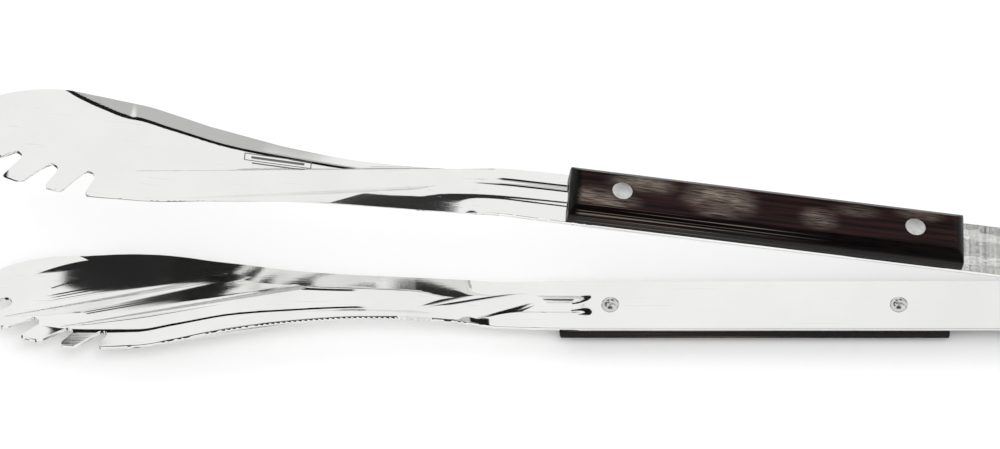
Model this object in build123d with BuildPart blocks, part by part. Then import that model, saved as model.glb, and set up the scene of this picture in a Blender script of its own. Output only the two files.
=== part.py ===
"""Sprung barbecue tongs: two stamped steel arms with toothed scoop blades, joined by a U-shaped
spring bow, each arm with a wooden grip held by two rivets.

Millimetres. The lower arm lies level along X with its blade towards -X and the bow towards +X. The
origin is the middle of the lower grip's flat outer face and Z points up. The upper side is the
mirror image of the lower one in the plane that halves the bow.
"""

import os

from math import acos, cos, degrees, pi, radians, sin, tan

from build123d import *

# Steel strip, shared by both arms and the bow
sheet = 1.5                # thickness of the steel
strap_width = 20.0         # width of the flat strap and of the bow
opening_angle = 11.9       # angle between the arms when nothing squeezes them
bow_outer_radius = 10.0    # outside of the U bend
bow_distance = 143.0       # from the middle of the grip to the centre of the bow

# Blade: distances run from the middle of the grip towards the tip
narrow_start = 58.0        # the strap starts to narrow towards the neck
neck_distance = 118.5      # narrowest place
blade_distance = 230.0     # widest place
tip_length = 42.5          # from the widest place to the tip
neck_width = 17.9
blade_width = 41.0
tip_fullness = 2.2         # 2 makes the tip half an ellipse, more makes it squarer
tip_skew = 1.6             # how far the tip leans towards the smooth side
widening = [(0.15, 0.02), (0.36, 0.165), (0.55, 0.43), (0.64, 0.58), (0.74, 0.78), (0.84, 0.93)]

# Stiffening groove, pressed outwards into the strap in front of the grip's front rivet
groove_depth = 1.5
groove_floor_width = 4.4
groove_width = 8.8
groove_fade = 9.0          # length over which the groove dies out
groove_end_gap = 1.6       # between the groove's end and the front rivet's dome

# Form of the neck and blade. A station is 0 at the neck and 1 at the widest place of the blade.
web_rise_start = -0.5       # station where the groove's floor starts to climb towards the neck
web_heights = [
    (-0.3, -1.15),
    (-0.19, -0.45),
    (-0.09, 0.75),
    (0.0, 2.4),
    (0.2, 3.5),
    (0.46, 3.1),
    (0.69, 1.9),
    (0.9, 1.1),
]
web_half_widths = [(-0.09, 2.6), (0.0, 3.8), (0.22, 4.2), (0.39, 5.1), (0.57, 6.4), (0.75, 9.9), (0.87, 12.1)]
smooth_side_web = [(0.87, 12.1), (0.97, 15.1), (1.03, 17.8), (1.11, 22.0), (1.4, 26.0)]
toothed_side_web = [(0.87, 12.1), (1.07, 12.0), (1.21, 10.2), (1.31, 6.8), (1.4, 4.0)]
wall_slopes = [(-0.08, 0.50), (0.0, 0.47), (0.4, 0.42), (0.7, 0.36), (0.85, 0.30), (1.0, 0.27)]
flange_slopes = [(-0.27, 0.0), (-0.2, 0.2), (-0.13, 0.44)]
crease_softness = 1.1      # half the width of the bend between web and flange
tip_curl = 3.6             # how far the tip curls inwards

# Notches between the teeth: distance from the tip, distance from the centre line, lean from square
notches = [(44.9, 14.2, 35.0), (32.5, 12.8, 42.0), (20.1, 8.8, 49.0), (9.6, 1.1, 60.0)]
notch_root_radius = 2.0
notch_flare = 9.0          # each side of a notch opens by this angle
tooth_tip_radius = 1.8

# Wooden grips
grip_length = 135.0
grip_width = 20.0
grip_thickness = 8.0
grip_chamfer = 3.5
grip_end_radius = 5.0
grip_softening = 0.4
groove_relief = 0.2        # room round the pressed groove in the wood
formed_relief = 0.03       # room under the rest of the pressed sheet

# Rivets
rivet_spacing = 100.0
shank_radius = 2.0
head_radius = 3.5          # flat head let into the wood
head_thickness = 1.6
head_recess = 0.05         # below the face of the wood
dome_radius = 3.1          # domed head on the inner side of the arm
dome_height = 2.3
rivet_clearance = 0.05     # round each rivet, in the steel and in the wood

# Worked out from the sizes above
strap_underside = grip_thickness
strap_top = grip_thickness + sheet
bow_inner_radius = bow_outer_radius - sheet
bow_centre_height = strap_underside + bow_outer_radius
tip_distance = blade_distance + tip_length
station_length = blade_distance - neck_distance
groove_end = rivet_spacing / 2 + dome_radius + groove_end_gap
formed_start = groove_end - 0.8
groove_slope = groove_depth / ((groove_width - groove_floor_width) / 2)
surface_margin = 4.0
half_opening = radians(opening_angle / 2)
middle_plane = Plane(
    origin=(bow_distance, 0, bow_centre_height),
    x_dir=(0, 1, 0),
    z_dir=(sin(half_opening), 0, cos(half_opening)),
)


def ease(value, start, end):
    """Rises smoothly from 0 at start to 1 at end."""
    share = min(1.0, max(0.0, (value - start) / (end - start)))
    return share * share * (3 - 2 * share)


def follow(place, table):
    """Smooth curve through a table of (place, value) that doesn't overshoot the values."""
    if place <= table[0][0]:
        return table[0][1]
    if place >= table[-1][0]:
        return table[-1][1]
    steps = [(b[1] - a[1]) / (b[0] - a[0]) for a, b in zip(table, table[1:])]
    slopes = [0.0]
    for before, after in zip(steps, steps[1:]):
        slopes.append(2 * before * after / (before + after) if before * after > 0 else 0.0)
    slopes.append(0.0)
    i = max(k for k in range(len(table) - 1) if table[k][0] <= place)
    run = table[i + 1][0] - table[i][0]
    t = (place - table[i][0]) / run
    rise_from = table[i][1] * (1 + 2 * t) * (1 - t) ** 2 + slopes[i] * run * t * (1 - t) ** 2
    rise_to = table[i + 1][1] * t * t * (3 - 2 * t) + slopes[i + 1] * run * t * t * (t - 1)
    return rise_from + rise_to


def soft_ramp(distance):
    """0 well before a crease, the distance past it well after, and an even bend in between."""
    if distance <= -crease_softness:
        return 0.0
    if distance >= crease_softness:
        return distance
    return (distance + crease_softness) ** 2 / (4 * crease_softness)


def formed_height(reach, y):
    """Height of the arm's outer surface over the flat strap's underside."""
    station = (reach - neck_distance) / station_length
    groove_share = ease(reach, groove_end, groove_end + groove_fade)
    web = follow(station, [(web_rise_start, -groove_depth)] + web_heights) * groove_share
    wall = follow(station, [(web_rise_start, groove_slope)] + wall_slopes) * groove_share
    flange = follow(station, flange_slopes + wall_slopes[1:])
    half_floor = follow(station, [(-0.22, groove_floor_width / 2)] + web_half_widths)
    if station > web_half_widths[-1][0]:
        half_floor = follow(station, smooth_side_web if y > 0 else toothed_side_web)
    wall_end = half_floor + (groove_width - groove_floor_width) / 2
    curl = tip_curl * (max(0.0, reach - blade_distance) / tip_length) ** 2
    past_floor = wall * soft_ramp(abs(y) - half_floor)
    past_wall = (flange - wall) * soft_ramp(abs(y) - wall_end)
    return web + curl + past_floor + past_wall


def formed_surface():
    """Outer surface of the arm, reaching past the outline on every side."""
    start = formed_start - surface_margin
    length = tip_distance + surface_margin - start
    width = blade_width + 2 * surface_margin
    rows = round(length / 3.0)
    columns = round(width / 0.8)
    grid = []
    for row in range(rows + 1):
        reach = start + length * row / rows
        line = []
        for column in range(columns + 1):
            y = width * (column / columns - 0.5)
            line.append((-reach, y, strap_underside + formed_height(reach, y)))
        grid.append(line)
    return Face.make_surface_from_array_of_points(grid, tol=0.005, smoothing=(1, 1, 1), max_deg=5)


def half_outline(side):
    """Points along one edge of the arm from its narrowing to the widest place of the blade."""
    points = [(-narrow_start, side * strap_width / 2), (-neck_distance, side * neck_width / 2)]
    for distance_share, width_share in widening:
        width = neck_width + (blade_width - neck_width) * width_share
        points.append((-neck_distance - station_length * distance_share, side * width / 2))
    points.append((-blade_distance, side * blade_width / 2))
    return points


def tip_outline():
    """Points round the tip of the blade, from its +Y edge to its -Y edge."""
    points = []
    for step in range(17):
        turn = pi / 2 - pi * step / 16
        forward = abs(cos(turn)) ** (2 / tip_fullness)
        aside = abs(sin(turn)) ** (2 / tip_fullness)
        side = 1 if turn > 0 else -1
        y = side * aside * blade_width / 2 + tip_skew * forward
        points.append((-blade_distance - tip_length * forward, y))
    return points


# Outline of the formed part of the arm with the notches between its teeth
with BuildSketch() as arm_outline:
    with BuildLine():
        smooth_edge = Spline(*half_outline(1), tangents=[(-1, 0), (-1, 0)])
        Spline(*tip_outline(), tangents=[(-1, 0), (1, 0)])
        toothed_edge = Spline(*half_outline(-1), tangents=[(-1, 0), (-1, 0)])
        Polyline(
            smooth_edge @ 0,
            (-formed_start, strap_width / 2),
            (-formed_start, -strap_width / 2),
            toothed_edge @ 0,
        )
    make_face()
    plain_corners = [Vector(*corner) for corner in arm_outline.vertices()]
    roots = [Vector(from_tip - tip_distance, -aside) for from_tip, aside, _ in notches]
    flare = radians(notch_flare)
    for root, (_, _, lean) in zip(roots, notches):
        with Locations(Location((root.X, root.Y, 0), (0, 0, -90 - lean))):
            Circle(notch_root_radius, mode=Mode.SUBTRACT)
            touch_back = -notch_root_radius * sin(flare)
            touch_side = notch_root_radius * cos(flare)
            mouth_side = touch_side + (blade_width / 2 - touch_back) * tan(flare)
            Polygon(
                (touch_back, touch_side),
                (touch_back, -touch_side),
                (blade_width / 2, -mouth_side),
                (blade_width / 2, mouth_side),
                align=None,
                mode=Mode.SUBTRACT,
            )
    tooth_corners = [
        corner
        for corner in arm_outline.vertices()
        if min((Vector(*corner) - place).length for place in plain_corners) > 0.01
        and min((Vector(*corner) - root).length for root in roots) > 2 * notch_root_radius
    ]
    fillet(tooth_corners, radius=tooth_tip_radius)

# Groove, neck and toothed blade, cut out of the formed sheet
with BuildPart() as formed_front:
    thicken(formed_surface(), amount=sheet, normal_override=(0, 0, 1))
    extrude(arm_outline.sketch, amount=60, mode=Mode.INTERSECT)

with BuildPart() as lower_arm:
    strap_length = bow_distance + formed_start
    with Locations((-formed_start, 0, strap_underside)):
        Box(strap_length, strap_width, sheet, align=(Align.MIN, Align.CENTER, Align.MIN))
    add(formed_front.part)
    with Locations((-rivet_spacing / 2, 0, strap_underside), (rivet_spacing / 2, 0, strap_underside)):
        Cylinder(
            shank_radius + rivet_clearance,
            sheet,
            align=(Align.CENTER, Align.CENTER, Align.MIN),
            mode=Mode.SUBTRACT,
        )

# Spring bow: a U bend that carries on from the lower strap round to the upper one
with BuildPart() as spring_bow:
    bow_centre = (bow_distance, bow_centre_height)
    with BuildSketch(Plane.XZ):
        with BuildLine():
            outside = CenterArc(bow_centre, bow_outer_radius, -90, 180 - opening_angle)
            inside = CenterArc(bow_centre, bow_inner_radius, -90, 180 - opening_angle)
            Line(outside @ 0, inside @ 0)
            Line(outside @ 1, inside @ 1)
        make_face()
    extrude(amount=strap_width / 2, both=True)

# Wooden grip: chamfered along its outer edges, rounded at both ends, relieved for the groove
with BuildPart() as lower_grip:
    with BuildSketch(Plane.YZ.offset(-grip_length / 2)):
        with BuildLine():
            Polyline(
                (-grip_width / 2, grip_thickness),
                (-grip_width / 2, grip_chamfer),
                (grip_chamfer - grip_width / 2, 0),
                (grip_width / 2 - grip_chamfer, 0),
                (grip_width / 2, grip_chamfer),
                (grip_width / 2, grip_thickness),
                close=True,
            )
        make_face()
    extrude(amount=grip_length)
    with BuildSketch(Plane.XZ) as end_profile:
        with Locations((0, grip_thickness / 2)):
            Rectangle(grip_length, grip_thickness)
        fillet(end_profile.vertices().group_by(Axis.Y)[0], radius=grip_end_radius)
    extrude(amount=grip_width, both=True, mode=Mode.INTERSECT)
    softened = lower_grip.edges().filter_by(
        lambda edge: edge.center().Z < grip_thickness - 0.1
        and abs(edge.center().X) < grip_length / 2 - grip_end_radius
    )
    fillet(softened, radius=grip_softening)
    relief_radius = groove_width / 2 + crease_softness + groove_relief
    with Locations((-groove_end + groove_relief - relief_radius, 0, grip_thickness)):
        Cylinder(
            relief_radius,
            groove_depth + groove_relief,
            align=(Align.CENTER, Align.CENTER, Align.MAX),
            mode=Mode.SUBTRACT,
        )
        Box(
            grip_length,
            2 * relief_radius,
            groove_depth + groove_relief,
            align=(Align.MAX, Align.CENTER, Align.MAX),
            mode=Mode.SUBTRACT,
        )
    with Locations((-formed_start, 0, grip_thickness)):
        Box(
            grip_length,
            grip_width,
            formed_relief,
            align=(Align.MAX, Align.CENTER, Align.MAX),
            mode=Mode.SUBTRACT,
        )
    with Locations((-rivet_spacing / 2, 0, 0), (rivet_spacing / 2, 0, 0)):
        Cylinder(
            shank_radius + rivet_clearance,
            grip_thickness,
            align=(Align.CENTER, Align.CENTER, Align.MIN),
            mode=Mode.SUBTRACT,
        )
        Cylinder(
            head_radius + rivet_clearance,
            head_recess + head_thickness,
            align=(Align.CENTER, Align.CENTER, Align.MIN),
            mode=Mode.SUBTRACT,
        )


def rivet(x):
    """A rivet with a flat head in the wood at the bottom and a domed head on the steel."""
    dome_ball = (dome_radius**2 + dome_height**2) / (2 * dome_height)
    dome_centre = strap_top + dome_height - dome_ball
    dome_start = degrees(acos(dome_radius / dome_ball))
    with BuildPart() as one_rivet:
        with BuildSketch(Plane.XZ):
            with BuildLine():
                Polyline(
                    (0, strap_top + dome_height),
                    (0, head_recess),
                    (head_radius, head_recess),
                    (head_radius, head_recess + head_thickness),
                    (shank_radius, head_recess + head_thickness),
                    (shank_radius, strap_top),
                    (dome_radius, strap_top),
                )
                CenterArc((0, dome_centre), dome_ball, dome_start, 90 - dome_start)
            make_face()
        revolve(axis=Axis.Z)
    return Pos(x, 0, 0) * one_rivet.part


with BuildPart() as lower_front_rivet:
    add(rivet(-rivet_spacing / 2))

with BuildPart() as lower_rear_rivet:
    add(rivet(rivet_spacing / 2))

# The upper side mirrors the lower one
with BuildPart() as upper_arm:
    mirror(lower_arm.part, about=middle_plane)

with BuildPart() as upper_grip:
    mirror(lower_grip.part, about=middle_plane)

with BuildPart() as upper_front_rivet:
    mirror(lower_front_rivet.part, about=middle_plane)

with BuildPart() as upper_rear_rivet:
    mirror(lower_rear_rivet.part, about=middle_plane)

lower_arm.part.label = "lower arm"
upper_arm.part.label = "upper arm"
spring_bow.part.label = "spring bow"
lower_grip.part.label = "lower grip"
upper_grip.part.label = "upper grip"
lower_front_rivet.part.label = "lower front rivet"
lower_rear_rivet.part.label = "lower rear rivet"
upper_front_rivet.part.label = "upper front rivet"
upper_rear_rivet.part.label = "upper rear rivet"

os.makedirs("parts", exist_ok=True)
export_step(lower_arm.part, "parts/lower_arm.step")
export_step(upper_arm.part, "parts/upper_arm.step")
export_step(spring_bow.part, "parts/spring_bow.step")
export_step(lower_grip.part, "parts/lower_grip.step")
export_step(upper_grip.part, "parts/upper_grip.step")
export_step(lower_front_rivet.part, "parts/lower_front_rivet.step")
export_step(lower_rear_rivet.part, "parts/lower_rear_rivet.step")
export_step(upper_front_rivet.part, "parts/upper_front_rivet.step")
export_step(upper_rear_rivet.part, "parts/upper_rear_rivet.step")
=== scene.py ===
from math import acos, cos, pi, radians, sin, tan

import bmesh
import bpy
from mathutils import Matrix, Vector
from mathutils.geometry import intersect_point_line


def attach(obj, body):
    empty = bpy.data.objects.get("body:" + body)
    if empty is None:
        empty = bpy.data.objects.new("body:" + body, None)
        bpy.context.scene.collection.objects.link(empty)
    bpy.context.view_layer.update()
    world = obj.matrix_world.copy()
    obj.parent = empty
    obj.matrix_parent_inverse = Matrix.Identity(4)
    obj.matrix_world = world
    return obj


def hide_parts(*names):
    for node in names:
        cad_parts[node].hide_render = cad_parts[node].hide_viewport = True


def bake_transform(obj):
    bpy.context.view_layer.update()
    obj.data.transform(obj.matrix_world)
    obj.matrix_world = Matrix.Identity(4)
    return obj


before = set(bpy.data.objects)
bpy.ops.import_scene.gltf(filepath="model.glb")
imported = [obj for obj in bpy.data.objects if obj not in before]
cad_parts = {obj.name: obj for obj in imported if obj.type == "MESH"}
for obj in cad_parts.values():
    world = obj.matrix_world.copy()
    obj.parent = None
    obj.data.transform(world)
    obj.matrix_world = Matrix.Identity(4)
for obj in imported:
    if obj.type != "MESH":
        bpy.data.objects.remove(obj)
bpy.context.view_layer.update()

print("frame loaded")

mm = 0.001

# places shared by all the pieces, in millimetres in the row frame
common = {
    "sheet": 1.5,
    "strapWidth": 20.0,
    "openingAngle": 11.9,
    "bowCentre": (143.0, 18.0),  # x and height of the bow's centre
    "bowRadius": 10.0,
    "gripThickness": 8.0,
    "rivetSpots": (-50.0, 50.0),
}

halfOpening = radians(common["openingAngle"] / 2)
middleNormal = Vector((sin(halfOpening), 0, cos(halfOpening)))
middlePoint = Vector((common["bowCentre"][0], 0, common["bowCentre"][1]))


def mirrorMatrix():  # reflection in the plane that halves the bow, in metres
    n = middleNormal
    flip = Matrix.Identity(4)
    for i in range(3):
        for j in range(3):
            flip[i][j] -= 2 * n[i] * n[j]
    centre = middlePoint * mm
    return Matrix.Translation(centre) @ flip @ Matrix.Translation(-centre)


toUpper = mirrorMatrix()


def deselectAll():
    if bpy.context.mode != "OBJECT":
        bpy.ops.object.mode_set(mode="OBJECT")
    bpy.ops.object.select_all(action="DESELECT")


def pick(obj):
    deselectAll()
    obj.select_set(True)
    bpy.context.view_layer.objects.active = obj


def named(name):  # names the object just added and puts its place into its mesh
    obj = bpy.context.object
    obj.name = name
    obj.data.name = name
    bpy.ops.object.transform_apply(location=True, rotation=True, scale=True)
    return obj


def chooseEdges(obj, test):  # selects the edges whose two ends pass the test, in edit mode
    mesh = obj.data
    bpy.ops.object.mode_set(mode="EDIT")
    bpy.ops.mesh.select_mode(type="EDGE")
    bpy.ops.mesh.select_all(action="DESELECT")
    bm = bmesh.from_edit_mesh(mesh)
    for edge in bm.edges:
        if test(edge.verts[0].co / mm, edge.verts[1].co / mm, edge):
            edge.select = True
    bm.select_flush_mode()
    bmesh.update_edit_mesh(mesh)


def roundSharp(obj, angle, width, segments):  # rounds every edge sharper than angle
    pick(obj)
    bpy.ops.object.mode_set(mode="EDIT")
    bpy.ops.mesh.select_mode(type="EDGE")
    bpy.ops.mesh.select_all(action="DESELECT")
    bpy.ops.mesh.edges_select_sharp(sharpness=radians(angle))
    bpy.ops.mesh.bevel(offset=width * mm, segments=segments, affect="EDGES")
    bpy.ops.object.mode_set(mode="OBJECT")


def cutWith(obj, cutter, operation="DIFFERENCE"):
    pick(obj)
    cut = obj.modifiers.new("cut", "BOOLEAN")
    cut.operation = operation
    cut.solver = "EXACT"
    cut.object = cutter
    bpy.ops.object.modifier_apply(modifier="cut")
    bpy.data.objects.remove(cutter, do_unlink=True)


def upperCopy(obj, name):  # mirror image on the upper side, with its own mesh
    pick(obj)
    bpy.ops.object.duplicate()
    twin = bpy.context.object
    twin.name = name
    twin.data.name = name
    twin.data.transform(toUpper)
    twin.data.flip_normals()
    return twin


def storeMask(obj, name, test):  # 1 at the points that pass the test, 0 elsewhere
    attribute = obj.data.attributes.new(name, "FLOAT", "POINT")
    for vertex in obj.data.vertices:
        attribute.data[vertex.index].value = 1.0 if test(vertex.co / mm) else 0.0


def storePlace(obj, upper=False):  # keeps each point's place along the straight lower side for the grain
    attribute = obj.data.attributes.new("grainPlace", "FLOAT_VECTOR", "POINT")
    for vertex in obj.data.vertices:
        place = toUpper @ vertex.co if upper else vertex.co
        attribute.data[vertex.index].vector = place + Vector((0, 0, 0.31 if upper else 0))


# camera: looks down on the lower arm's inner side, turned a little so that this arm is level in view
cameraSet = {"azimuth": 9.0, "elevation": 53.02, "distance": 1.44, "lens": 152.5, "roll": -7.33, "aim": (-84.9, 0, 56.4)}


def makeCamera(s):
    a, e, r = radians(s["azimuth"]), radians(s["elevation"]), radians(s["roll"])
    forward = Vector((-sin(a) * cos(e), cos(a) * cos(e), -sin(e)))
    right = Vector((cos(a), sin(a), 0))
    up = right.cross(forward)
    turnedRight = right * cos(r) + up * sin(r)
    turnedUp = up * cos(r) - right * sin(r)
    deselectAll()
    bpy.ops.object.camera_add()
    camera = bpy.context.object
    camera.name = "camera"
    facing = Matrix((turnedRight, turnedUp, -forward)).transposed().to_4x4()
    camera.matrix_world = Matrix.Translation(Vector(s["aim"]) * mm - forward * s["distance"]) @ facing
    camera.data.lens = s["lens"]
    camera.data.sensor_width = 36
    camera.data.clip_start = 0.01
    bpy.context.scene.camera = camera


makeCamera(cameraSet)
print("camera set")


# steel arms: a flat sheet is cut to the outline, thickened and then pressed to shape
armForm = {
    "narrowStart": 58.0,  # distances run from the middle of the grip towards the tip
    "neckDistance": 118.5,
    "bladeDistance": 230.0,
    "tipLength": 42.5,
    "neckWidth": 17.9,
    "bladeWidth": 41.0,
    "tipFullness": 2.2,
    "tipSkew": 1.6,
    "widening": [(0.15, 0.02), (0.36, 0.165), (0.55, 0.43), (0.64, 0.58), (0.74, 0.78), (0.84, 0.93)],
    "grooveDepth": 1.5,
    "grooveFloor": 4.4,
    "grooveWidth": 8.8,
    "grooveFade": 9.0,
    "grooveEnd": 54.7,
    "softness": 1.1,
    "tipCurl": 3.6,
    "webRiseStart": -0.5,
    "webHeights": [
        (-0.3, -1.15),
        (-0.19, -0.45),
        (-0.09, 0.75),
        (0.0, 2.4),
        (0.2, 3.5),
        (0.46, 3.1),
        (0.69, 1.9),
        (0.9, 1.1),
    ],
    "webHalves": [(-0.09, 2.6), (0.0, 3.8), (0.22, 4.2), (0.39, 5.1), (0.57, 6.4), (0.75, 9.9), (0.87, 12.1)],
    "smoothSideWeb": [(0.87, 12.1), (0.97, 15.1), (1.03, 17.8), (1.11, 22.0), (1.4, 26.0)],
    "toothedSideWeb": [(0.87, 12.1), (1.07, 12.0), (1.21, 10.2), (1.31, 6.8), (1.4, 4.0)],
    "wallSlopes": [(-0.08, 0.50), (0.0, 0.47), (0.4, 0.42), (0.7, 0.36), (0.85, 0.30), (1.0, 0.27)],
    "flangeSlopes": [(-0.27, 0.0), (-0.2, 0.2), (-0.13, 0.44)],
    "notches": [(44.9, 14.2, 35.0), (32.5, 12.8, 42.0), (20.1, 8.8, 49.0), (9.6, 1.1, 60.0)],
    "notchRoot": 2.0,
    "notchFlare": 9.0,
    "toothCorner": 2.2,
    "rimRound": 0.28,
    "rimClear": 0.45,  # inner points keep this far from the rim, so that its band doesn't fold
    "cell": (1.6, 1.0),  # size of the sheet's mesh squares
}
stationLength = armForm["bladeDistance"] - armForm["neckDistance"]
tipDistance = armForm["bladeDistance"] + armForm["tipLength"]


def ease(value, start, end):
    share = min(1.0, max(0.0, (value - start) / (end - start)))
    return share * share * (3 - 2 * share)


def follow(place, table):  # smooth curve through (place, value) pairs, with no overshoot
    if place <= table[0][0]:
        return table[0][1]
    if place >= table[-1][0]:
        return table[-1][1]
    steps = [(b[1] - a[1]) / (b[0] - a[0]) for a, b in zip(table, table[1:])]
    slopes = [0.0]
    for before, after in zip(steps, steps[1:]):
        slopes.append(2 * before * after / (before + after) if before * after > 0 else 0.0)
    slopes.append(0.0)
    i = max(k for k in range(len(table) - 1) if table[k][0] <= place)
    run = table[i + 1][0] - table[i][0]
    t = (place - table[i][0]) / run
    riseFrom = table[i][1] * (1 + 2 * t) * (1 - t) ** 2 + slopes[i] * run * t * (1 - t) ** 2
    riseTo = table[i + 1][1] * t * t * (3 - 2 * t) + slopes[i + 1] * run * t * t * (t - 1)
    return riseFrom + riseTo


def softRamp(distance, softness):
    if distance <= -softness:
        return 0.0
    if distance >= softness:
        return distance
    return (distance + softness) ** 2 / (4 * softness)


def rowForm(reach):  # what the cross-section needs at one distance along the arm
    f = armForm
    station = (reach - f["neckDistance"]) / stationLength
    grooveShare = ease(reach, f["grooveEnd"], f["grooveEnd"] + f["grooveFade"])
    wallRun = (f["grooveWidth"] - f["grooveFloor"]) / 2
    web = follow(station, [(f["webRiseStart"], -f["grooveDepth"])] + f["webHeights"]) * grooveShare
    wall = follow(station, [(f["webRiseStart"], f["grooveDepth"] / wallRun)] + f["wallSlopes"]) * grooveShare
    flange = follow(station, f["flangeSlopes"] + f["wallSlopes"][1:])
    half = follow(station, [(-0.22, f["grooveFloor"] / 2)] + f["webHalves"])
    halves = (half, half)
    if station > f["webHalves"][-1][0]:
        halves = (follow(station, f["smoothSideWeb"]), follow(station, f["toothedSideWeb"]))
    curl = f["tipCurl"] * (max(0.0, reach - f["bladeDistance"]) / f["tipLength"]) ** 2
    return web + curl, wall, flange, halves, wallRun


rowCache = {}


def pressedHeight(reach, y):
    key = round(reach, 5)
    if key not in rowCache:
        rowCache[key] = rowForm(reach)
    web, wall, flange, halves, wallRun = rowCache[key]
    if reach < armForm["grooveEnd"]:
        return 0.0
    half = halves[0] if y > 0 else halves[1]
    pastFloor = wall * softRamp(abs(y) - half, armForm["softness"])
    pastWall = (flange - wall) * softRamp(abs(y) - half - wallRun, armForm["softness"])
    return web + pastFloor + pastWall


def pressedNormal(reach, y):  # towards the inner side of the lower arm
    d = 0.02
    alongSlope = -(pressedHeight(reach + d, y) - pressedHeight(reach - d, y)) / (2 * d)
    acrossSlope = (pressedHeight(reach, y + d) - pressedHeight(reach, y - d)) / (2 * d)
    return Vector((-alongSlope, -acrossSlope, 1)).normalized()


def outlinePoints():  # round the arm, from the bow end along the smooth side and back along the toothed side
    f = armForm
    neckHalf, bladeHalf = f["neckWidth"] / 2, f["bladeWidth"] / 2
    table = [(f["narrowStart"], common["strapWidth"] / 2), (f["neckDistance"], neckHalf)]
    for distanceShare, widthShare in f["widening"]:
        distance = f["neckDistance"] + stationLength * distanceShare
        table.append((distance, neckHalf + (bladeHalf - neckHalf) * widthShare))
    table.append((f["bladeDistance"], bladeHalf))
    side = [(-common["bowCentre"][0], common["strapWidth"] / 2)]
    reach = f["narrowStart"]
    while reach < f["bladeDistance"]:
        side.append((reach, follow(reach, table)))
        reach += 1.9
    tip = []
    steps = 72
    for step in range(steps + 1):
        turn = pi / 2 - pi * step / steps
        forward = abs(cos(turn)) ** (2 / f["tipFullness"])
        aside = abs(sin(turn)) ** (2 / f["tipFullness"]) * bladeHalf
        tip.append((-f["bladeDistance"] - f["tipLength"] * forward, (aside if turn > 0 else -aside) + f["tipSkew"] * forward))
    return [(-r, w) for r, w in side] + tip + [(-r, -w) for r, w in reversed(side)]


def prismFrom(name, points, low, high):  # a circle's points are moved to the outline, filled and extruded
    deselectAll()
    bpy.ops.mesh.primitive_circle_add(vertices=len(points), radius=0.01, fill_type="NGON", location=(0, 0, 0))
    prism = named(name)
    for vertex, (x, y) in zip(prism.data.vertices, points):
        vertex.co = (x * mm, y * mm, low * mm)
    bpy.ops.object.mode_set(mode="EDIT")
    bpy.ops.mesh.select_all(action="SELECT")
    bpy.ops.mesh.extrude_region_move(TRANSFORM_OT_translate={"value": (0, 0, (high - low) * mm)})
    bpy.ops.mesh.select_all(action="SELECT")
    bpy.ops.mesh.normals_make_consistent(inside=False)
    bpy.ops.object.mode_set(mode="OBJECT")
    return prism


def notchPoints(fromTip, aside, lean):
    root, flare = armForm["notchRoot"], radians(armForm["notchFlare"])
    points = []
    for step in range(17):  # round the root, from one flank to the other
        turn = (pi / 2 + flare) + (pi - 2 * flare) * step / 16
        points.append((root * cos(turn), root * sin(turn)))
    back, side = points[-1]
    length = armForm["bladeWidth"] / 2
    mouth = abs(side) + (length - back) * tan(flare)
    points += [(length, -mouth), (length, mouth)]
    turnBy = radians(-90 - lean)
    turned = []
    for x, y in points:
        turned.append(
            (
                x * cos(turnBy) - y * sin(turnBy) + fromTip - tipDistance,
                x * sin(turnBy) + y * cos(turnBy) - aside,
            )
        )
    return turned


def keepOffRim(mesh, clear):
    bm = bmesh.from_edit_mesh(mesh)
    for vertex in bm.verts:
        if vertex.is_boundary:
            continue
        feet = []
        for face in vertex.link_faces:
            for edge in face.edges:
                if edge.is_boundary:
                    first, second = edge.verts[0].co, edge.verts[1].co
                    foot, share = intersect_point_line(vertex.co, first, second)
                    foot = first if share < 0 else second if share > 1 else foot
                    feet.append((vertex.co - foot, foot.copy()))
        if feet:
            away, foot = min(feet, key=lambda pair: pair[0].length)
            if 0.001 * mm < away.length < clear * mm:
                vertex.co = foot + away.normalized() * clear * mm
    bmesh.update_edit_mesh(mesh)


def makeArm():
    f = armForm
    blank = prismFrom("blank", outlinePoints(), -3, 3)
    for number, notch in enumerate(f["notches"]):
        cutWith(blank, prismFrom("notch", notchPoints(*notch), -5, 5))
    roots = [Vector((n[0] - tipDistance, -n[1], 0)) for n in f["notches"]]
    pick(blank)

    def toothCorner(a, b, edge):
        if abs(a.z - b.z) < 5 or a.x > -f["bladeDistance"] + 8 or len(edge.link_faces) != 2:
            return False
        if edge.calc_face_angle(0) < radians(28):
            return False
        flat = Vector((a.x, a.y, 0))
        return min((flat - root).length for root in roots) > 1.6 * f["notchRoot"]

    chooseEdges(blank, toothCorner)
    bpy.ops.mesh.bevel(offset=f["toothCorner"] * mm, segments=6, affect="EDGES", offset_type="OFFSET")
    bpy.ops.object.mode_set(mode="OBJECT")

    length = tipDistance + common["bowCentre"][0]
    deselectAll()
    bpy.ops.mesh.primitive_grid_add(
        x_subdivisions=round((length + 8) / f["cell"][0]),
        y_subdivisions=round(46.3 / f["cell"][1]),
        size=1,
        location=((common["bowCentre"][0] - tipDistance) / 2 * mm, 0.13 * mm, 0),
    )
    bpy.context.object.scale = ((length + 8) * mm, 46.3 * mm, 1)
    arm = named("lower_arm_steel")
    cutWith(arm, blank, "INTERSECT")
    pick(arm)
    bpy.ops.object.mode_set(mode="EDIT")
    bpy.ops.mesh.select_all(action="SELECT")
    bpy.ops.mesh.remove_doubles(threshold=0.06 * mm)
    keepOffRim(arm.data, f["rimClear"])
    bpy.ops.mesh.select_all(action="SELECT")
    bpy.ops.mesh.subdivide(number_cuts=1, quadcorner="INNERVERT")
    keepOffRim(arm.data, f["rimClear"])
    bpy.ops.mesh.select_all(action="SELECT")
    bpy.ops.mesh.inset(thickness=f["rimRound"] * mm, use_boundary=True, use_even_offset=True)
    bpy.ops.mesh.select_all(action="SELECT")
    bpy.ops.mesh.normals_make_consistent(inside=False)
    bpy.ops.object.mode_set(mode="OBJECT")
    return arm


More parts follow.
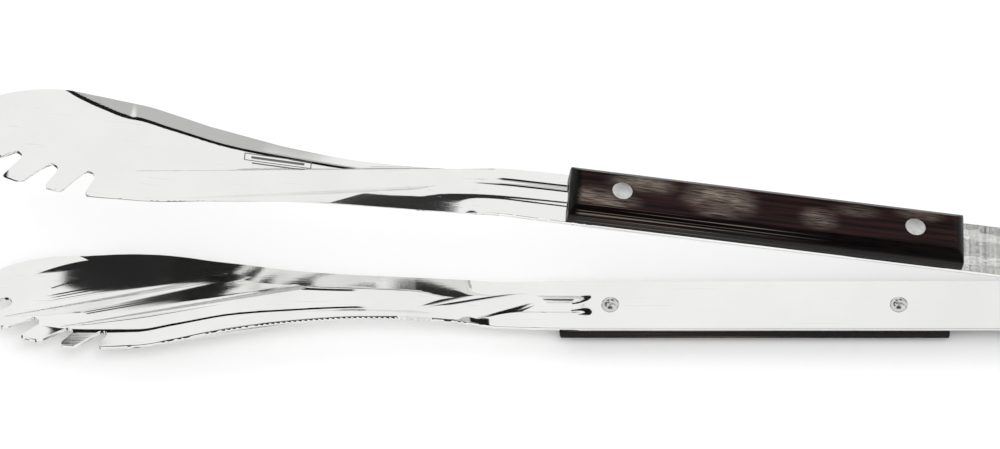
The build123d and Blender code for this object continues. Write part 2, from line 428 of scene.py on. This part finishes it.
def pressArm(arm):  # thickens the flat sheet and gives every point its pressed height
    sheet, rimRound = common["sheet"], armForm["rimRound"]
    pick(arm)
    bpy.ops.object.mode_set(mode="EDIT")
    bm = bmesh.from_edit_mesh(arm.data)
    bowEnd = common["bowCentre"][0] - 0.01
    onRim = bm.verts.layers.int.new("onRim")
    bm.verts.layers.int.new("onInner")
    for vertex in bm.verts:
        atBow = vertex.co.x / mm > bowEnd
        corner = atBow and abs(vertex.co.y) / mm > common["strapWidth"] / 2 - 0.01
        vertex[onRim] = int(vertex.is_boundary and (corner or not atBow))
    bm.faces.ensure_lookup_table()
    if bm.faces[0].normal.z < 0:
        bmesh.ops.reverse_faces(bm, faces=bm.faces)
    bmesh.update_edit_mesh(arm.data)
    bpy.ops.mesh.select_all(action="SELECT")
    bpy.ops.mesh.extrude_region_move(TRANSFORM_OT_translate={"value": (0, 0, mm)})
    bm = bmesh.from_edit_mesh(arm.data)
    onRim = bm.verts.layers.int["onRim"]
    onInner = bm.verts.layers.int["onInner"]
    for vertex in bm.verts:
        x, y, layer = vertex.co / mm
        vertex[onInner] = int(layer > 0.5)
        share = 1.0 if layer > 0.5 else 0.0
        if vertex[onRim]:
            share += (rimRound / sheet) * (1 if layer < 0.5 else -1)
        reach = -x
        base = Vector((x, y, common["gripThickness"] + pressedHeight(reach, y)))
        vertex.co = (base + pressedNormal(reach, y) * sheet * share) * mm
    bmesh.update_edit_mesh(arm.data)
    bpy.ops.mesh.select_all(action="SELECT")
    bpy.ops.mesh.normals_make_consistent(inside=False)
    bpy.ops.object.mode_set(mode="OBJECT")


def polishNormals(arm, upper=False):  # the broad faces take the pressed form's own normals, the rim stays rounded
    mesh = arm.data
    for polygon in mesh.polygons:
        polygon.use_smooth = True
    flip = toUpper.to_3x3()
    corners = [Vector((0, 0, 0))] * len(mesh.loops)
    for polygon in mesh.polygons:
        faceNormal = polygon.normal
        centre = polygon.center
        if upper:
            faceNormal, centre = flip @ faceNormal, toUpper @ centre
        centre = centre / mm
        formNormal = pressedNormal(-centre.x, centre.y)
        if abs(faceNormal.dot(formNormal)) < 0.97:
            continue
        turn = 1 if faceNormal.dot(formNormal) > 0 else -1
        for loop in polygon.loop_indices:
            place = mesh.vertices[mesh.loops[loop].vertex_index].co
            place = (toUpper @ place if upper else place) / mm
            height = place.z - common["gripThickness"] - pressedHeight(-place.x, place.y)
            foot = place - pressedNormal(-place.x, place.y) * max(0.0, min(height, common["sheet"]))
            normal = pressedNormal(-foot.x, foot.y) * turn
            corners[loop] = flip @ normal if upper else normal
    mesh.normals_split_custom_set([tuple(c) for c in corners])


lowerArm = makeArm()
pressArm(lowerArm)
upperArm = upperCopy(lowerArm, "upper_arm_steel")
polishNormals(lowerArm)
polishNormals(upperArm, upper=True)
storePlace(lowerArm)
storePlace(upperArm, upper=True)
print("arms pressed", len(lowerArm.data.polygons))


# spring bow: the strip's section spun round from the lower strap to the upper one
bowForm = {"steps": 40, "rimRound": 0.28}


def makeBow():
    outer, sheet, half = common["bowRadius"], common["sheet"], common["strapWidth"] / 2
    x, z = common["bowCentre"]
    deselectAll()
    bpy.ops.mesh.primitive_plane_add(size=1, location=(x * mm, 0, (z - outer + sheet / 2) * mm), rotation=(0, pi / 2, 0))
    bpy.context.object.scale = (sheet * mm, 2 * half * mm, 1)
    bow = named("spring_bow_steel")
    bpy.ops.object.mode_set(mode="EDIT")
    bpy.ops.mesh.select_mode(type="VERT")
    bpy.ops.mesh.select_all(action="SELECT")
    bpy.ops.mesh.bevel(offset=bowForm["rimRound"] * mm, segments=1, affect="VERTICES")
    bpy.ops.mesh.select_all(action="SELECT")
    bpy.ops.mesh.spin(
        steps=bowForm["steps"],
        angle=radians(180 - common["openingAngle"]),
        center=(x * mm, 0, z * mm),
        axis=(0, 1, 0),
    )
    bpy.ops.mesh.select_all(action="SELECT")
    bpy.ops.mesh.remove_doubles(threshold=0.01 * mm)
    bpy.ops.mesh.normals_make_consistent(inside=False)
    bpy.ops.object.mode_set(mode="OBJECT")
    bpy.ops.object.shade_smooth_by_angle(angle=radians(60))
    # the bow's rims, which get the rougher rim finish and the painted dark rim reflection in the steel material
    storeMask(bow, "onRim", lambda co: abs(co.y) > common["strapWidth"] / 2 - 0.01)
    return bow


springBow = makeBow()
storePlace(springBow)
print("bow spun")


# wooden grips
gripForm = {
    "length": 135.0,
    "width": 20.0,
    "chamfer": 3.5,
    "endRadius": 5.0,
    "softening": 0.4,
    "reliefDepth": 1.7,
    "reliefRadius": 5.7,
    "reliefEnd": -54.5,
    "counterbore": 3.6,
    "counterboreDepth": 1.7,
}


def makeBlock(name, low, high):
    deselectAll()
    centre = [(a + b) / 2 * mm for a, b in zip(low, high)]
    bpy.ops.mesh.primitive_cube_add(size=1, location=centre)
    bpy.context.object.scale = [(b - a) * mm for a, b in zip(low, high)]
    return named(name)


def makeGrip():
    g, thick = gripForm, common["gripThickness"]
    halfLength, halfWidth = g["length"] / 2, g["width"] / 2
    grip = makeBlock("lower_grip_wood", (-halfLength, -halfWidth, 0), (halfLength, halfWidth, thick))
    chooseEdges(grip, lambda a, b, e: a.z < 0.01 and b.z < 0.01 and abs(a.y - b.y) < 0.01)
    bpy.ops.mesh.bevel(offset=g["chamfer"] * mm, segments=1, affect="EDGES")
    bpy.ops.object.mode_set(mode="OBJECT")
    ends = makeBlock("ends", (-halfLength, -halfWidth - 5, 0), (halfLength, halfWidth + 5, thick + 5))
    chooseEdges(ends, lambda a, b, e: a.z < 0.01 and b.z < 0.01 and abs(a.x - b.x) < 0.01)
    bpy.ops.mesh.bevel(offset=g["endRadius"] * mm, segments=12, affect="EDGES")
    bpy.ops.object.mode_set(mode="OBJECT")
    cutWith(grip, ends, "INTERSECT")
    pick(grip)
    bpy.ops.object.mode_set(mode="EDIT")
    bpy.ops.mesh.select_mode(type="EDGE")
    bpy.ops.mesh.select_all(action="DESELECT")
    bpy.ops.mesh.edges_select_sharp(sharpness=radians(20))
    bpy.ops.mesh.bevel(offset=g["softening"] * mm, segments=3, affect="EDGES")
    bpy.ops.object.mode_set(mode="OBJECT")
    slot = makeBlock("slot", (-halfLength - 5, -g["reliefRadius"], thick - g["reliefDepth"]), (g["reliefEnd"] - g["reliefRadius"], g["reliefRadius"], thick + 2))
    cutWith(grip, slot)
    deselectAll()
    bpy.ops.mesh.primitive_cylinder_add(
        vertices=48,
        radius=g["reliefRadius"] * mm,
        depth=4 * mm,
        location=((g["reliefEnd"] - g["reliefRadius"]) * mm, 0, (thick - g["reliefDepth"] + 2) * mm),
    )
    cutWith(grip, named("slotEnd"))
    for x in common["rivetSpots"]:
        deselectAll()
        bpy.ops.mesh.primitive_cylinder_add(
            vertices=64,
            radius=g["counterbore"] * mm,
            depth=2 * g["counterboreDepth"] * mm,
            location=(x * mm, 0, 0),
        )
        cutWith(grip, named("counterbore"))
    pick(grip)
    bpy.ops.object.shade_smooth_by_angle(angle=radians(28))
    return grip


lowerGrip = makeGrip()
upperGrip = upperCopy(lowerGrip, "upper_grip_wood")
storePlace(lowerGrip)
storePlace(upperGrip, upper=True)
print("grips shaped")


# rivets: turned round one axis, flat head in the wood, domed head on the steel
rivetForm = {
    "head": [(3.2, 0.05), (3.42, 0.12), (3.5, 0.28), (3.5, 1.65), (2.0, 1.66), (2.0, 9.45), (2.95, 9.5), (3.1, 9.62)],
    "domeRadius": 3.1,
    "domeHeight": 2.3,
    "domeBase": 9.5,
    "domeSteps": 12,
}


def turnedPiece(name, x, rings):
    deselectAll()
    bpy.ops.mesh.primitive_circle_add(vertices=72, radius=rings[0][0] * mm, fill_type="NGON", location=(x * mm, 0, rings[0][1] * mm))
    piece = named(name)
    bpy.ops.object.mode_set(mode="EDIT")
    bpy.ops.mesh.select_all(action="SELECT")
    for (oldRadius, oldZ), (radius, z) in zip(rings, rings[1:]):
        bpy.ops.mesh.extrude_region_move(TRANSFORM_OT_translate={"value": (0, 0, (z - oldZ) * mm)})
        grow = radius / oldRadius
        bpy.ops.transform.resize(value=(grow, grow, 1), center_override=(x * mm, 0, z * mm))
    bpy.ops.mesh.select_all(action="SELECT")
    bpy.ops.mesh.normals_make_consistent(inside=False)
    bpy.ops.object.mode_set(mode="OBJECT")
    bpy.ops.object.shade_smooth_by_angle(angle=radians(35))
    storeMask(piece, "onDome", lambda co: co.z > common["gripThickness"] + common["sheet"] - 0.01)
    return piece


def rivetRings(r):
    ball = (r["domeRadius"] ** 2 + r["domeHeight"] ** 2) / (2 * r["domeHeight"])
    centre = r["domeBase"] + r["domeHeight"] - ball
    start = acos(min(1.0, r["domeRadius"] / ball))
    rings = list(r["head"])
    for step in range(1, r["domeSteps"]):
        turn = start + (pi / 2 - start) * step / r["domeSteps"]
        rings.append((ball * cos(turn), centre + ball * sin(turn)))
    rings.append((0.05, r["domeBase"] + r["domeHeight"]))
    return rings


rivets = {}
for place, x in zip(("front", "rear"), common["rivetSpots"]):
    rivets["lower_" + place] = turnedPiece("lower_" + place + "_rivet_metal", x, rivetRings(rivetForm))
    rivets["upper_" + place] = upperCopy(rivets["lower_" + place], "upper_" + place + "_rivet_metal")
for name, piece in rivets.items():
    storePlace(piece, upper=name.startswith("upper"))
print("rivets turned")


# shader groups used by more than one material
def newGroup(name, inputs, outputs):
    group = bpy.data.node_groups.new(name, "ShaderNodeTree")
    for socketName, kind, default in inputs:
        socket = group.interface.new_socket(name=socketName, in_out="INPUT", socket_type=kind)
        if default is not None:
            socket.default_value = default
    for socketName, kind in outputs:
        group.interface.new_socket(name=socketName, in_out="OUTPUT", socket_type=kind)
    return group, group.nodes.new("NodeGroupInput"), group.nodes.new("NodeGroupOutput")


def addNode(tree, kind, **values):
    node = tree.nodes.new(kind)
    for key, value in values.items():
        setattr(node, key, value)
    return node


def makeStreakGroup():  # fine lines that run along the piece, from long thin noise
    group, start, end = newGroup(
        "streaks",
        [("Place", "NodeSocketVector", None), ("Along", "NodeSocketFloat", 20.0), ("Across", "NodeSocketFloat", 900.0), ("Detail", "NodeSocketFloat", 3.0)],
        [("Lines", "NodeSocketFloat")],
    )
    link = group.links.new
    combine = addNode(group, "ShaderNodeCombineXYZ")
    link(start.outputs["Along"], combine.inputs["X"])
    link(start.outputs["Across"], combine.inputs["Y"])
    link(start.outputs["Across"], combine.inputs["Z"])
    scaled = addNode(group, "ShaderNodeVectorMath", operation="MULTIPLY")
    link(start.outputs["Place"], scaled.inputs[0])
    link(combine.outputs[0], scaled.inputs[1])
    noise = addNode(group, "ShaderNodeTexNoise")
    noise.inputs["Scale"].default_value = 1.0
    noise.inputs["Roughness"].default_value = 0.6
    link(scaled.outputs[0], noise.inputs["Vector"])
    link(start.outputs["Detail"], noise.inputs["Detail"])
    link(noise.outputs["Fac"], end.inputs["Lines"])
    return group


def makeSmudgeGroup():  # broad soft patches of handling, and sparse small marks
    group, start, end = newGroup(
        "smudges",
        [("Place", "NodeSocketVector", None), ("Size", "NodeSocketFloat", 30.0), ("Amount", "NodeSocketFloat", 0.5)],
        [("Mask", "NodeSocketFloat")],
    )
    link = group.links.new
    noise = addNode(group, "ShaderNodeTexNoise")
    noise.inputs["Detail"].default_value = 4.0
    noise.inputs["Roughness"].default_value = 0.55
    link(start.outputs["Place"], noise.inputs["Vector"])
    link(start.outputs["Size"], noise.inputs["Scale"])
    spread = addNode(group, "ShaderNodeMapRange")
    spread.inputs["From Min"].default_value = 0.38
    spread.inputs["From Max"].default_value = 0.68
    link(noise.outputs["Fac"], spread.inputs["Value"])
    strength = addNode(group, "ShaderNodeMath", operation="MULTIPLY")
    link(spread.outputs[0], strength.inputs[0])
    link(start.outputs["Amount"], strength.inputs[1])
    link(strength.outputs[0], end.inputs["Mask"])
    return group


streakGroup = makeStreakGroup()
smudgeGroup = makeSmudgeGroup()


def useGroup(tree, group, place, **values):
    node = addNode(tree, "ShaderNodeGroup", node_tree=group)
    for key, value in values.items():
        node.inputs[key].default_value = value
    tree.links.new(place, node.inputs["Place"])
    return node


def ramp(tree, source, stops):  # colour ramp from (position, colour) pairs
    node = addNode(tree, "ShaderNodeValToRGB")
    elements = node.color_ramp.elements
    while len(elements) < len(stops):
        elements.new(0.5)
    for element, (position, colour) in zip(elements, stops):
        element.position = position
        element.color = (*colour, 1)
    tree.links.new(source, node.inputs["Fac"])
    return node


def newMaterial(name):
    material = bpy.data.materials.new(name)
    material.use_nodes = True
    tree = material.node_tree
    shader = tree.nodes["Principled BSDF"]
    place = addNode(tree, "ShaderNodeAttribute", attribute_name="grainPlace")
    return material, tree, shader, place.outputs["Vector"]


def joined(tree, operation, first, second):  # one maths node between two values
    node = addNode(tree, "ShaderNodeMath", operation=operation)
    for i, value in enumerate((first, second)):
        if isinstance(value, (int, float)):
            node.inputs[i].default_value = value
        else:
            tree.links.new(value, node.inputs[i])
    return node.outputs[0]


def spread(tree, value, low, high, toLow=0.0, toHigh=1.0):
    node = addNode(tree, "ShaderNodeMapRange", interpolation_type="SMOOTHSTEP")
    node.inputs["From Min"].default_value = low
    node.inputs["From Max"].default_value = high
    node.inputs["To Min"].default_value = toLow
    node.inputs["To Max"].default_value = toHigh
    tree.links.new(value, node.inputs["Value"])
    return node.outputs[0]


steelLook = {
    "base": (0.86, 0.86, 0.845),
    "duller": (0.81, 0.81, 0.80),
    # edge: dark grey painted on the rims of the arms and the bow, a painted reflection of the shaded floor beside
    # them
    "edge": (0.20, 0.20, 0.20),
    "roughness": (0.035, 0.085),
    "edgeRoughness": 0.38,
    "lineHeight": 0.012,
    "scratch": (0.70, 0.70, 0.69),
    # plain etched mark on the outside of the upper blade: centre and half size of each bar, in millimetres
    "markBars": [(-165.6, 3.1, 11.4, 1.55), (-165.2, 0.75, 9.0, 0.28)],
    "markHollow": (-165.6, 3.1, 11.05, 1.2),
    "markFill": (-165.6, 3.1, 9.0, 0.5),
    "etched": (0.20, 0.20, 0.20),
}


def barMask(tree, parts, bar):  # 1 inside a rectangle
    x, y, halfLong, halfWide = bar
    awayX = joined(tree, "ABSOLUTE", joined(tree, "SUBTRACT", parts.outputs["X"], x * mm), 0.0)
    awayY = joined(tree, "ABSOLUTE", joined(tree, "SUBTRACT", parts.outputs["Y"], y * mm), 0.0)
    insideX = joined(tree, "LESS_THAN", awayX, halfLong * mm)
    insideY = joined(tree, "LESS_THAN", awayY, halfWide * mm)
    return joined(tree, "MULTIPLY", insideX, insideY)


def etchedMask(tree, place, s):
    parts = addNode(tree, "ShaderNodeSeparateXYZ")
    tree.links.new(place, parts.inputs[0])
    frameBar, underBar = [barMask(tree, parts, bar) for bar in s["markBars"]]
    outline = joined(tree, "SUBTRACT", frameBar, barMask(tree, parts, s["markHollow"]))
    bars = joined(tree, "MAXIMUM", joined(tree, "MAXIMUM", outline, underBar), barMask(tree, parts, s["markFill"]))
    inner = addNode(tree, "ShaderNodeAttribute", attribute_name="onInner").outputs["Fac"]
    outside = joined(tree, "LESS_THAN", inner, 0.5)
    upper = joined(tree, "GREATER_THAN", parts.outputs["Z"], 0.2)
    return joined(tree, "MULTIPLY", bars, joined(tree, "MULTIPLY", outside, upper))


def makeSteel(s):
    material, tree, shader, place = newMaterial("polished_stainless")
    link = tree.links.new
    fine = useGroup(tree, streakGroup, place, Along=25.0, Across=2600.0, Detail=4.0)
    patches = useGroup(tree, smudgeGroup, place, Size=22.0, Amount=1.0)
    rim = addNode(tree, "ShaderNodeAttribute", attribute_name="onRim").outputs["Fac"]
    scratches = useGroup(tree, streakGroup, place, Along=14.0, Across=1700.0, Detail=2.0)
    scratched = spread(tree, scratches.outputs["Lines"], 0.66, 0.74, 0.0, 0.6)
    etched = etchedMask(tree, place, s)
    colour = ramp(tree, patches.outputs["Mask"], [(0.0, s["base"]), (1.0, s["duller"])]).outputs["Color"]
    # the rims take the edge colour, a painted dark reflection rather than the steel's own colour; their higher
    # roughness is real
    for mask, over in ((scratched, "scratch"), (rim, "edge"), (etched, "etched")):
        layer = addNode(tree, "ShaderNodeMix", data_type="RGBA")
        link(mask, layer.inputs["Factor"])
        link(colour, layer.inputs[6])
        layer.inputs[7].default_value = (*s[over], 1)
        colour = layer.outputs[2]
    link(colour, shader.inputs["Base Color"])
    dullMask = joined(tree, "MAXIMUM", rim, joined(tree, "MAXIMUM", etched, joined(tree, "MULTIPLY", scratched, 0.4)))
    shader.inputs["Metallic"].default_value = 1.0
    blend = addNode(tree, "ShaderNodeMath", operation="MULTIPLY_ADD")
    link(fine.outputs["Lines"], blend.inputs[0])
    blend.inputs[1].default_value = 0.5
    half = addNode(tree, "ShaderNodeMath", operation="MULTIPLY")
    half.inputs[1].default_value = 0.5
    link(patches.outputs["Mask"], half.inputs[0])
    link(half.outputs[0], blend.inputs[2])
    rough = addNode(tree, "ShaderNodeMapRange")
    rough.inputs["To Min"].default_value = s["roughness"][0]
    rough.inputs["To Max"].default_value = s["roughness"][1]
    link(blend.outputs[0], rough.inputs["Value"])
    edgeRough = addNode(tree, "ShaderNodeMix", data_type="FLOAT")
    link(dullMask, edgeRough.inputs["Factor"])
    link(rough.outputs[0], edgeRough.inputs[2])
    edgeRough.inputs[3].default_value = s["edgeRoughness"]
    link(edgeRough.outputs[0], shader.inputs["Roughness"])
    bump = addNode(tree, "ShaderNodeBump")
    bump.inputs["Strength"].default_value = s["lineHeight"]
    bump.inputs["Distance"].default_value = 0.0004
    link(fine.outputs["Lines"], bump.inputs["Height"])
    link(bump.outputs["Normal"], shader.inputs["Normal"])
    return material


woodLook = {
    "dark": (0.0035, 0.0014, 0.0014),
    "red": (0.021, 0.0068, 0.0066),
    "pale": (0.26, 0.215, 0.18),
    "roughness": (0.22, 0.42),
    "gloss": 0.10,
    # how much darker the chamfers and rounded ends are painted: painted shade
    "paintedSideAndEndShade": 0.2,
    # pale figure in the veneer: centre and half size along and across, in millimetres, and strength
    "figures": [
        (-57.0, -4.0, 13.0, 4.5, 0.75),
        (-43.0, 3.5, 12.0, 4.0, 0.65),
        (-17.0, 1.0, 12.5, 7.5, 1.0),
        (17.0, -1.5, 7.0, 4.5, 0.55),
        (29.0, 3.5, 9.0, 3.0, 0.28),
        (52.0, 5.0, 9.0, 2.5, 0.35),
    ],
    "sideStreaks": (-75.0, 12.0),  # stretch of the chamfers with long pale lines
}


def softSpot(tree, place, figure):
    x, y, halfLong, halfWide, strength = figure
    link = tree.links.new
    shift = addNode(tree, "ShaderNodeVectorMath", operation="SUBTRACT")
    link(place, shift.inputs[0])
    shift.inputs[1].default_value = (x * mm, y * mm, 0)
    scale = addNode(tree, "ShaderNodeVectorMath", operation="MULTIPLY")
    link(shift.outputs[0], scale.inputs[0])
    scale.inputs[1].default_value = (1000 / halfLong, 1000 / halfWide, 0)
    length = addNode(tree, "ShaderNodeVectorMath", operation="LENGTH")
    link(scale.outputs[0], length.inputs[0])
    fall = addNode(tree, "ShaderNodeMapRange", interpolation_type="SMOOTHSTEP")
    fall.inputs["From Min"].default_value = 1.25
    fall.inputs["From Max"].default_value = 0.35
    fall.inputs["To Max"].default_value = strength
    link(length.outputs["Value"], fall.inputs["Value"])
    return fall.outputs[0]


def makeWood(s):
    material, tree, shader, place = newMaterial("laminated_wood")
    link = tree.links.new
    grain = useGroup(tree, streakGroup, place, Along=22.0, Across=700.0, Detail=6.0).outputs["Lines"]
    fibre = useGroup(tree, streakGroup, place, Along=150.0, Across=2300.0, Detail=5.0).outputs["Lines"]
    layers = useGroup(tree, streakGroup, place, Along=5.0, Across=1500.0, Detail=3.0).outputs["Lines"]
    drift = useGroup(tree, streakGroup, place, Along=60.0, Across=160.0, Detail=2.0).outputs["Lines"]
    base = ramp(tree, grain, [(0.40, s["dark"]), (0.62, s["red"])])
    figures = None
    for figure in s["figures"]:
        spot = softSpot(tree, place, figure)
        figures = spot if figures is None else joined(tree, "MAXIMUM", figures, spot)
    uneven = joined(tree, "MULTIPLY", figures, spread(tree, drift, 0.36, 0.60, 0.35, 1.0))
    fibres = spread(tree, fibre, 0.36, 0.64, 0.12, 1.0)
    face = joined(tree, "MULTIPLY", uneven, fibres)
    parts = addNode(tree, "ShaderNodeSeparateXYZ")
    link(place, parts.inputs[0])
    aside = joined(tree, "ABSOLUTE", parts.outputs["Y"], 0.0)
    onSide = spread(tree, aside, 6.6 * mm, 7.0 * mm)
    startX, endX = s["sideStreaks"]
    stretch = spread(tree, parts.outputs["X"], endX * mm + 0.012, endX * mm - 0.02)
    lines = spread(tree, layers, 0.54, 0.66, 0.0, 0.55)
    side = joined(tree, "MULTIPLY", joined(tree, "MULTIPLY", lines, stretch), onSide)
    offSide = joined(tree, "SUBTRACT", 1.0, onSide)
    pale = joined(tree, "ADD", joined(tree, "MULTIPLY", face, offSide), side)
    # the chamfers and the rounded ends are painted darker and lose the pale figure: painted shade standing for the
    # dark reflections they show
    endways = joined(tree, "ABSOLUTE", parts.outputs["X"], 0.0)
    onEnd = spread(tree, endways, 63.0 * mm, 65.5 * mm)
    pale = joined(tree, "MULTIPLY", pale, joined(tree, "SUBTRACT", 1.0, onEnd))
    paintedSideAndEndShade = spread(tree, joined(tree, "MAXIMUM", onSide, onEnd), 0.0, 1.0, 1.0, s["paintedSideAndEndShade"])
    shaded = addNode(tree, "ShaderNodeVectorMath", operation="SCALE")
    link(base.outputs["Color"], shaded.inputs[0])
    link(paintedSideAndEndShade, shaded.inputs["Scale"])
    mix = addNode(tree, "ShaderNodeMix", data_type="RGBA")
    link(pale, mix.inputs["Factor"])
    link(shaded.outputs[0], mix.inputs[6])
    mix.inputs[7].default_value = (*s["pale"], 1)
    link(mix.outputs[2], shader.inputs["Base Color"])
    rough = spread(tree, fibre, 0.3, 0.7, s["roughness"][0], s["roughness"][1])
    link(rough, shader.inputs["Roughness"])
    shader.inputs["Specular IOR Level"].default_value = s["gloss"]
    bump = addNode(tree, "ShaderNodeBump")
    bump.inputs["Strength"].default_value = 0.25
    bump.inputs["Distance"].default_value = 0.00015
    link(fibre, bump.inputs["Height"])
    link(bump.outputs["Normal"], shader.inputs["Normal"])
    return material


rivetLook = {
    "base": (0.70, 0.70, 0.685),
    "duller": (0.60, 0.60, 0.585),
    "headRoughness": (0.36, 0.50),
    "domeRoughness": 0.24,
}


def makeRivetMetal(s):
    material, tree, shader, place = newMaterial("rivet_aluminium")
    link = tree.links.new
    patches = useGroup(tree, smudgeGroup, place, Size=500.0, Amount=1.0)
    colour = ramp(tree, patches.outputs["Mask"], [(0.0, s["base"]), (1.0, s["duller"])])
    link(colour.outputs["Color"], shader.inputs["Base Color"])
    shader.inputs["Metallic"].default_value = 1.0
    rough = addNode(tree, "ShaderNodeMapRange")
    rough.inputs["To Min"].default_value = s["headRoughness"][0]
    rough.inputs["To Max"].default_value = s["headRoughness"][1]
    link(patches.outputs["Mask"], rough.inputs["Value"])
    dome = addNode(tree, "ShaderNodeAttribute", attribute_name="onDome").outputs["Fac"]
    mix = addNode(tree, "ShaderNodeMix", data_type="FLOAT")
    link(dome, mix.inputs["Factor"])
    link(rough.outputs[0], mix.inputs[2])
    mix.inputs[3].default_value = s["domeRoughness"]
    link(mix.outputs[0], shader.inputs["Roughness"])
    return material


steel = makeSteel(steelLook)
wood = makeWood(woodLook)
rivetMetal = makeRivetMetal(rivetLook)


def dress(piece, material):
    piece.data.materials.clear()
    piece.data.materials.append(material)


for piece in (lowerArm, upperArm, springBow):
    dress(piece, steel)
for piece in (lowerGrip, upperGrip):
    dress(piece, wood)
for piece in rivets.values():
    dress(piece, rivetMetal)
print("materials made")

# what each piece stands for and rides on
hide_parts("lower_arm")
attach(lowerArm, "lower_side")
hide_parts("upper_arm")
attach(upperArm, "upper_side")
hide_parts("lower_grip")
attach(lowerGrip, "lower_side")
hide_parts("upper_grip")
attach(upperGrip, "upper_side")
for name, piece in rivets.items():
    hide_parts(name + "_rivet")
    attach(piece, name.split("_")[0] + "_side")
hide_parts("spring_bow")
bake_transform(springBow)
print("pieces ride")


# studio: pale floor, white surround, and dark cards that draw the dark shapes in the polished steel
studio = {
    "floor": 16.0,
    "world": 1.0,
    "reach": 6.0,  # distance of the cards in metres
    # each card covers a range of directions: share to the right, and degrees up from the back horizon over the top
    "cards": {
        "overheadLeft": {"side": (-0.62, -0.13), "rise": (62, 98), "shade": 0.022},
        "overheadFront": {"side": (-0.02, 0.29), "rise": (101.0, 113), "shade": 0.03},
        "frontStrip": {"side": (-0.16, 0.12), "rise": (112, 127), "shade": 0.08},
        "smallStrip": {"side": (-0.20, -0.06), "rise": (101.8, 103.6), "shade": 0.01},
        "frontDark": {"side": (-0.5, 0.5), "rise": (127, 160), "shade": 0.03},
        "backLeft": {"side": (-0.50, -0.10), "rise": (25, 49), "shade": 0.012},
        "backRight": {"side": (0.09, 0.5), "rise": (22, 47), "shade": 0.012},
        # backGrey glows mid grey and is seen only in reflections: a painted grey reflection on the far flanges
        "backGrey": {"side": (0.075, 0.8), "rise": (-3, 22), "shade": 0.58},
        "leftSide": {"side": (-0.90, -0.64), "rise": (40, 130), "shade": 0.02},
    },
    # floorCard: a near-black sheet just above the floor beyond the tips, seen only in reflections: a painted dark
    # floor reflection in the steel
    "floorCard": (-1.6, -0.274, 0.5),  # left end, right end and half width
}


def plainMaterial(name, colour, roughness, glow=None):
    material = bpy.data.materials.new(name)
    material.use_nodes = True
    shader = material.node_tree.nodes["Principled BSDF"]
    shader.inputs["Base Color"].default_value = (*colour, 1)
    shader.inputs["Roughness"].default_value = roughness
    if glow is not None:
        shader.inputs["Specular IOR Level"].default_value = 0
        shader.inputs["Emission Color"].default_value = (glow, glow, glow, 1)
        shader.inputs["Emission Strength"].default_value = 1
    return material


def hideFromAllButGloss(obj):
    obj.visible_shadow = False
    obj.visible_diffuse = False
    obj.visible_camera = False


def makeCard(name, card, distance):
    deselectAll()
    bpy.ops.mesh.primitive_grid_add(x_subdivisions=16, y_subdivisions=16, size=1)
    obj = bpy.context.object
    obj.name = name
    for vertex in obj.data.vertices:
        side = card["side"][0] + (card["side"][1] - card["side"][0]) * (vertex.co.x + 0.5)
        rise = radians(card["rise"][0] + (card["rise"][1] - card["rise"][0]) * (vertex.co.y + 0.5))
        rest = (1 - side * side) ** 0.5
        vertex.co = Vector((side, rest * cos(rise), rest * sin(rise))) * distance + Vector((-0.1, 0, 0.02))
    dress(obj, plainMaterial(name, (0, 0, 0), 1.0, card["shade"]))
    hideFromAllButGloss(obj)


def makeStudio(s):
    deselectAll()
    bpy.ops.mesh.primitive_plane_add(size=s["floor"], location=(0, 0, -0.0005))
    floor = named("floor")
    dress(floor, plainMaterial("floor_white", (0.93, 0.93, 0.93), 0.9))
    for name, card in s["cards"].items():
        makeCard(name, card, s["reach"])
    # near-black sheet seen only by glossy rays: painted dark floor reflection
    left, right, half = s["floorCard"]
    deselectAll()
    bpy.ops.mesh.primitive_plane_add(size=1, location=((left + right) / 2, 0, -0.0003))
    bpy.context.object.scale = (right - left, 2 * half, 1)
    floorCard = named("floorCard")
    dress(floorCard, plainMaterial("floorCard", (0, 0, 0), 1.0, 0.02))
    hideFromAllButGloss(floorCard)
    world = bpy.data.worlds.new("studio")
    world.use_nodes = True
    background = world.node_tree.nodes["Background"]
    background.inputs["Color"].default_value = (1, 1, 1, 1)
    background.inputs["Strength"].default_value = s["world"]
    bpy.context.scene.world = world
    deselectAll()
    bpy.ops.object.light_add(type="AREA", location=(0.3, -0.9, 1.6))
    key = bpy.context.object
    key.name = "softKey"
    key.data.energy = 12
    key.data.size = 1.0
    key.rotation_mode = "QUATERNION"
    key.rotation_quaternion = (Vector((-0.06, 0, 0.03)) - key.location).to_track_quat("-Z", "Y")
    key.visible_glossy = False


makeStudio(studio)
bpy.context.scene.view_settings.view_transform = "Standard"
print("studio lit")
